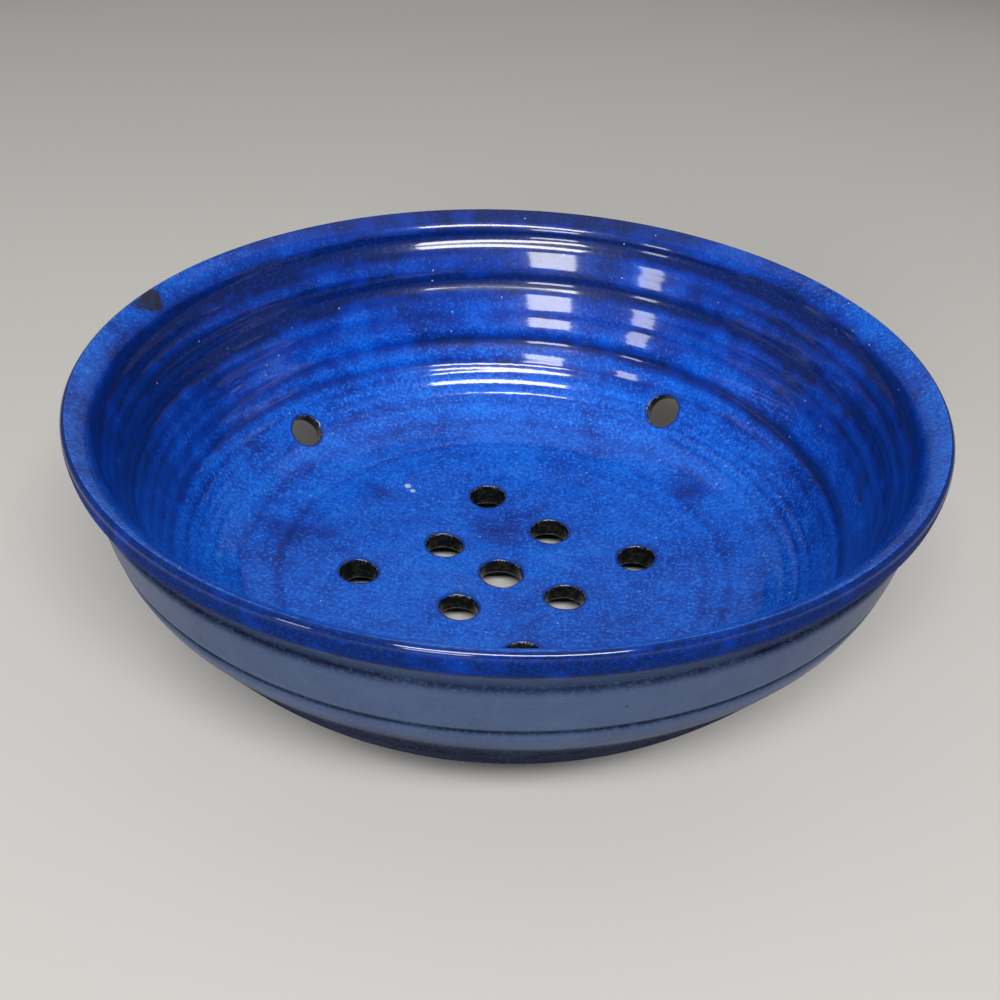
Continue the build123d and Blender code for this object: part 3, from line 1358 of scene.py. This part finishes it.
    def _build_bores(self) -> None:
        """Build each hole's bore between its two mouths, with rounded edges."""
        places, edges = [self.place], [self.edge]
        for number, hole in enumerate(self.holes):
            _, around, up, axis = self.hole_axes(hole)
            top, bottom = self._tops[number], self._bottoms[number]
            turn = self.hole_turn
            outward = -np.outer(np.cos(turn), around) + np.outer(np.sin(turn), up)
            head = self._fillet(self.place[top], hole.mouth, outward, axis)
            tail = self._fillet(self.place[bottom], hole.mouth, outward, -axis)
            shares = np.arange(1, self.bore_rows) / self.bore_rows
            bore = [head[-1] * (1 - share) + tail[-1] * share for share in shares]
            steps = np.arange(1, self.fillet_rows + 1) / self.fillet_rows
            ramp = list(self.mouth_mark + (1 - self.mouth_mark) * steps)
            marks = ramp + [1.0] * len(bore) + ramp[::-1]
            last = top
            for row, mark in zip(head + bore + tail[::-1], marks):
                ring = np.arange(self.count, self.count + self.hole_columns)
                self.count += self.hole_columns
                places.append(row)
                edges.append(np.full(self.hole_columns, mark))
                self._stitch(ring, last, Region.DRAIN)
                last = ring
            self._stitch(bottom, last, Region.DRAIN)
        self.place = np.vstack(places)
        self.edge = np.concatenate(edges)
        self.pool = np.concatenate([self.pool, np.zeros(self.count - len(self.pool))])

    def _measure(self) -> None:
        """Find the skin's normals and the masks that depend on places alone."""
        normal = np.zeros_like(self.place)
        for size in (3, 4):
            chosen = [face for face in self.faces if len(face) == size]
            if not chosen:
                continue
            corner = np.array(chosen)
            first = self.place[corner[:, 1]] - self.place[corner[:, 0]]
            second = self.place[corner[:, 2]] - self.place[corner[:, 0]]
            facing = np.cross(first, second)
            if size == 4:
                third = self.place[corner[:, 3]] - self.place[corner[:, 0]]
                facing = facing + np.cross(second, third)
            for k in range(size):
                np.add.at(normal, corner[:, k], facing)
        length = np.linalg.norm(normal, axis=1)
        self.normal = normal / np.maximum(length, 1e-12)[:, None]
        self.bare = self.marks.bare_patch(self.place)
        radius = np.hypot(self.place[:, 0], self.place[:, 1])
        height = self.place[:, 2]
        on_lip = radius > self.lip_radius
        lip_edge = bell(height, self.lip_edge_height, 0.9) * on_lip
        self.lip = np.clip((height - self.lip_height) / 1.4, 0.0, 1.0) * on_lip
        self.crest = np.clip(height - self.crest_height, 0.0, 1.0)
        wiped = bell(height, self.wiped_line, 0.7) * (radius > self.foot_inside)
        worn = np.maximum(self.mouth_mark * lip_edge, self.wiped_mark * wiped)
        self.edge = np.maximum(self.edge, worn)
        self.thickness = np.full(self.count, self.coat)
        foot = np.zeros(self.count, bool)
        glazed = np.zeros(self.count, bool)
        for face, region in zip(self.faces, self.regions):
            (foot if region is Region.FOOT else glazed)[list(face)] = True
        self.thickness[foot & ~glazed] = 0.0
        self.thickness[foot & glazed] = self.wiped_coat


# ---- The bowl's pieces ----


@dataclass
class BerryBowl:
    """The bowl: one clay body and its four coats of glaze."""

    section: BowlSection = field(default_factory=BowlSection)
    marks: HandMarks = field(default_factory=HandMarks)
    centre_bore: float = 12.0
    floor_spots: tuple[Spot, ...] = (
        (56.0, 24.5, 10.8),
        (145.0, 20.5, 10.4),
        (236.0, 20.0, 10.7),
        (330.0, 20.5, 10.8),
        (11.0, 39.0, 10.6),
        (98.0, 36.5, 10.2),
        (186.0, 40.0, 10.4),
        (280.0, 37.0, 10.7),
    )
    wall_spots: tuple[Spot, ...] = (
        (54.0, 48.0, 10.2),
        (140.0, 41.0, 9.7),
        (232.0, 45.0, 10.0),
        (322.0, 45.0, 10.1),
    )
    mouth: float = 0.8
    seeds: tuple[int, int, int] = (3, 20, 50)
    clearance: float = 0.004
    pieces: dict[Region, bpy.types.Object] = field(default_factory=dict)

    def drain_holes(self) -> list[DrainHole]:
        """List the drain holes.

        Returns:
            The centre hole, eight more in the floor and four in the wall.
        """
        centre, floor, wall = self.seeds
        holes = [DrainHole(Seat.FLOOR, 0.0, 0.0, 0.0, self.centre_bore, self.mouth, centre)]
        for seed, (angle, radius, bore) in enumerate(self.floor_spots, floor):
            holes.append(DrainHole(Seat.FLOOR, angle, radius, 0.0, bore, self.mouth, seed))
        for seed, (angle, slope, bore) in enumerate(self.wall_spots, wall):
            reach = self.section.knuckle_radius * math.sin(math.radians(slope))
            radius = float(self.section.knuckle[0]) + reach
            holes.append(DrainHole(Seat.WALL, angle, radius, slope, bore, self.mouth, seed))
        return holes

    def build(self) -> None:
        """Build the skin and cut it into the pieces."""
        skin = PotSkin(self.section, self.marks, self.drain_holes())
        LOG.info("skin of %d points and %d faces", skin.count, len(skin.faces))
        for region in (Region.INSIDE, Region.OUTSIDE, Region.BASE, Region.DRAIN):
            self.pieces[region] = self._coat(skin, region)
        self.pieces[Region.FOOT] = self._clay(skin)
        for region, piece in self.pieces.items():
            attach(piece, "root")
            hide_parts(region.value)

    def _coat(self, skin: PotSkin, region: Region) -> bpy.types.Object:
        """Make one coat of glaze as a closed shell.

        Args:
            skin: The whole pot's skin.
            region: The coat.

        Returns:
            The coat's object.
        """
        outer = [face for face, owner in zip(skin.faces, skin.regions) if owner is region]
        used = np.unique(np.concatenate([np.array(face) for face in outer]))
        number = np.full(skin.count, -1)
        number[used] = np.arange(len(used))
        count = len(used)
        faces: list[tuple[int, ...]] = []
        edges: dict[tuple[int, int], None] = {}
        for face in outer:
            local = tuple(int(number[k]) for k in face)
            faces.append(local)
            faces.append(tuple(k + count for k in reversed(local)))
            edges.update(dict.fromkeys(zip(local, local[1:] + local[:1])))
        for a, b in edges:
            if (b, a) not in edges:
                faces.append((b, a, a + count, b + count))
        place = skin.place[used]
        inner = place - skin.normal[used] * skin.thickness[used][:, None]
        normal = np.vstack([skin.normal[used], -skin.normal[used]])
        values = {mask: np.tile(getattr(skin, mask)[used], 2) for mask in MASKS}
        name = region.value.replace("glaze", "coat")
        return self._piece(name, np.vstack([place, inner]), faces, normal, values)

    def _clay(self, skin: PotSkin) -> bpy.types.Object:
        """Make the clay body under the coats.

        Args:
            skin: The whole pot's skin.

        Returns:
            The body's object.
        """
        place = skin.place - skin.normal * (skin.thickness + self.clearance)[:, None]
        bottom = skin.place[:, 2] < 0.05
        place[bottom] = skin.place[bottom]
        return self._piece("clay_body", place, skin.faces, skin.normal, {})

    @staticmethod
    def _piece(
        name: str,
        place: np.ndarray,
        faces: list[tuple[int, ...]],
        normal: np.ndarray,
        values: dict[str, np.ndarray],
    ) -> bpy.types.Object:
        """Make one object from points and faces.

        Args:
            name: The piece's name.
            place: Its points in millimetres.
            faces: Its faces.
            normal: The normals at its points.
            values: What it carries at its points.

        Returns:
            The object.
        """
        mesh = bpy.data.meshes.new(name)
        mesh.from_pydata((place * MM).tolist(), [], faces)
        mesh.shade_smooth()
        for key, column in values.items():
            layer = mesh.attributes.new(key, "FLOAT", "POINT")
            layer.data.foreach_set("value", np.ascontiguousarray(column, dtype=np.float32))
        mesh.normals_split_custom_set_from_vertices(normal.tolist())
        mesh.update()
        piece = bpy.data.objects.new(name, mesh)
        bpy.context.scene.collection.objects.link(piece)
        return piece

    def dress(self) -> None:
        """Give each piece its finish."""
        finishes = {
            Region.INSIDE: CobaltGlaze(
                "inside_cobalt", crumbs=((-29.6, 38.2, 1.15), (-27.9, 36.1, 1.0))
            ),
            Region.OUTSIDE: CobaltGlaze(
                "outside_cobalt", first_dip=True, bias=0.62, satin=0.38, sheen=0.0, sugar=0.1
            ),
            Region.BASE: CobaltGlaze(
                "base_cobalt", first_dip=True, bias=0.10, satin=0.38, sheen=0.0
            ),
            Region.DRAIN: DrainGlaze("drain_glass"),
            Region.FOOT: BareStoneware("bare_stoneware"),
        }
        for region, piece in self.pieces.items():
            piece.data.materials.append(finishes[region].material())
            LOG.info("piece %s stands for %s", piece.name, region.value)


# ---- The studio ----


@dataclass(frozen=True)
class SoftBox:
    """A rectangular soft light."""

    name: str
    azimuth: float
    elevation: float
    distance: float
    width: float
    height: float
    power: float

    def way(self) -> Vector:
        """Work out where the light hangs.

        Returns:
            The direction from the bowl to the light.
        """
        azimuth, elevation = math.radians(self.azimuth), math.radians(self.elevation)
        flat = math.cos(elevation)
        return Vector(
            (math.sin(azimuth) * flat, -math.cos(azimuth) * flat, math.sin(elevation))
        )


@dataclass
class Studio:
    """Floor, lights and camera."""

    floor_half: float = 1.3
    rim_height: float = 75.3
    camera_elevation: float = 28.2815
    camera_distance: float = 331.9
    aim_right: float = -0.003334
    aim_up: float = -0.101160
    roll: float = 2.1473
    lens: float = 46.8
    sensor: float = 36.0
    clip: tuple[float, float] = (0.01, 50.0)
    light_height: float = 40.0
    room_fill: float = 0.045
    room_seen: float = 0.105
    room_colour: Colour = (0.99, 0.975, 0.95, 1.0)
    boxes: tuple[SoftBox, ...] = (
        SoftBox("key_box", 4.0, 49.0, 1.70, 1.30, 0.30, 27.0),
        SoftBox("overhead_box", 180.0, 80.0, 1.80, 2.40, 1.80, 3.6),
        SoftBox("window_box", -13.0, 20.0, 1.90, 0.46, 0.40, 8.0),
        SoftBox("side_window_box", -45.0, 15.0, 1.90, 0.24, 0.42, 3.0),
        SoftBox("back_panel", 180.0, 26.0, 2.40, 3.20, 1.00, 0.7),
    )

    def build(self) -> None:
        """Make the floor, the lights and the camera."""
        self._floor()
        self._lights()
        self._camera()
        bpy.context.scene.view_settings.view_transform = "Standard"

    def _floor(self) -> None:
        """Make the floor, a sheet in the plane that the bowl stands on."""
        half = self.floor_half
        mesh = bpy.data.meshes.new("studio_floor")
        corners = [(-half, -half, 0.0), (half, -half, 0.0), (half, half, 0.0), (-half, half, 0.0)]
        mesh.from_pydata(corners, [], [(0, 1, 2, 3)])
        floor = bpy.data.objects.new("studio_floor", mesh)
        bpy.context.scene.collection.objects.link(floor)
        floor.data.materials.append(PaleFloor("pale_floor").material())

    def _lights(self) -> None:
        """Make the soft boxes and the dim room, which reflections show as the camera does."""
        aim = Vector((0.0, 0.0, self.light_height * MM))
        for box in self.boxes:
            light = bpy.data.lights.new(box.name, "AREA")
            light.shape = "RECTANGLE"
            light.size, light.size_y = box.width, box.height
            light.energy = box.power
            lamp = bpy.data.objects.new(box.name, light)
            lamp.location = aim + box.way() * box.distance
            lamp.rotation_euler = box.way().to_track_quat("Z", "Y").to_euler()
            bpy.context.scene.collection.objects.link(lamp)
        room = Shader(bpy.data.worlds.new("studio_room"))
        camera, gloss, through = (
            room.node("ShaderNodeLightPath", {}, {}, f"Is {kind} Ray")
            for kind in ("Camera", "Glossy", "Transmission")
        )
        strength = self.room_fill + (camera + gloss + through).clamped() * self.room_seen
        glow = room.node(
            "ShaderNodeBackground", {}, {"Color": self.room_colour, "Strength": strength}
        )
        room.close("ShaderNodeOutputWorld", glow)
        bpy.context.scene.world = room.owner

    def _camera(self) -> None:
        """Make the camera where the photograph was taken from."""
        lift = math.radians(self.camera_elevation)
        back = Vector((0.0, -math.cos(lift), math.sin(lift)))
        right = Vector((1.0, 0.0, 0.0))
        up = right.cross(-back)
        aim = (-back + self.aim_right * right + self.aim_up * up).normalized()
        side = aim.cross(Vector((0.0, 0.0, 1.0))).normalized()
        top = side.cross(aim)
        turn = math.radians(self.roll)
        level = math.cos(turn) * side + math.sin(turn) * top
        rise = -math.sin(turn) * side + math.cos(turn) * top
        lens = bpy.data.cameras.new("photo_camera")
        lens.sensor_fit = "HORIZONTAL"
        lens.sensor_width = self.sensor
        lens.lens = self.lens
        lens.clip_start, lens.clip_end = self.clip
        camera = bpy.data.objects.new("photo_camera", lens)
        spot = back * self.camera_distance * MM + Vector((0.0, 0.0, self.rim_height * MM))
        frame = Matrix((level, rise, -aim)).transposed().to_4x4()
        frame.translation = spot
        camera.matrix_world = frame
        bpy.context.scene.collection.objects.link(camera)
        bpy.context.scene.camera = camera


def main() -> None:
    """Load the frame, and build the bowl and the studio."""
    logging.basicConfig(level=logging.INFO, format="%(name)s: %(message)s")
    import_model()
    studio = Studio()
    studio.build()
    bowl = BerryBowl()
    bowl.build()
    bowl.dress()


if __name__ == "__main__":
    main()
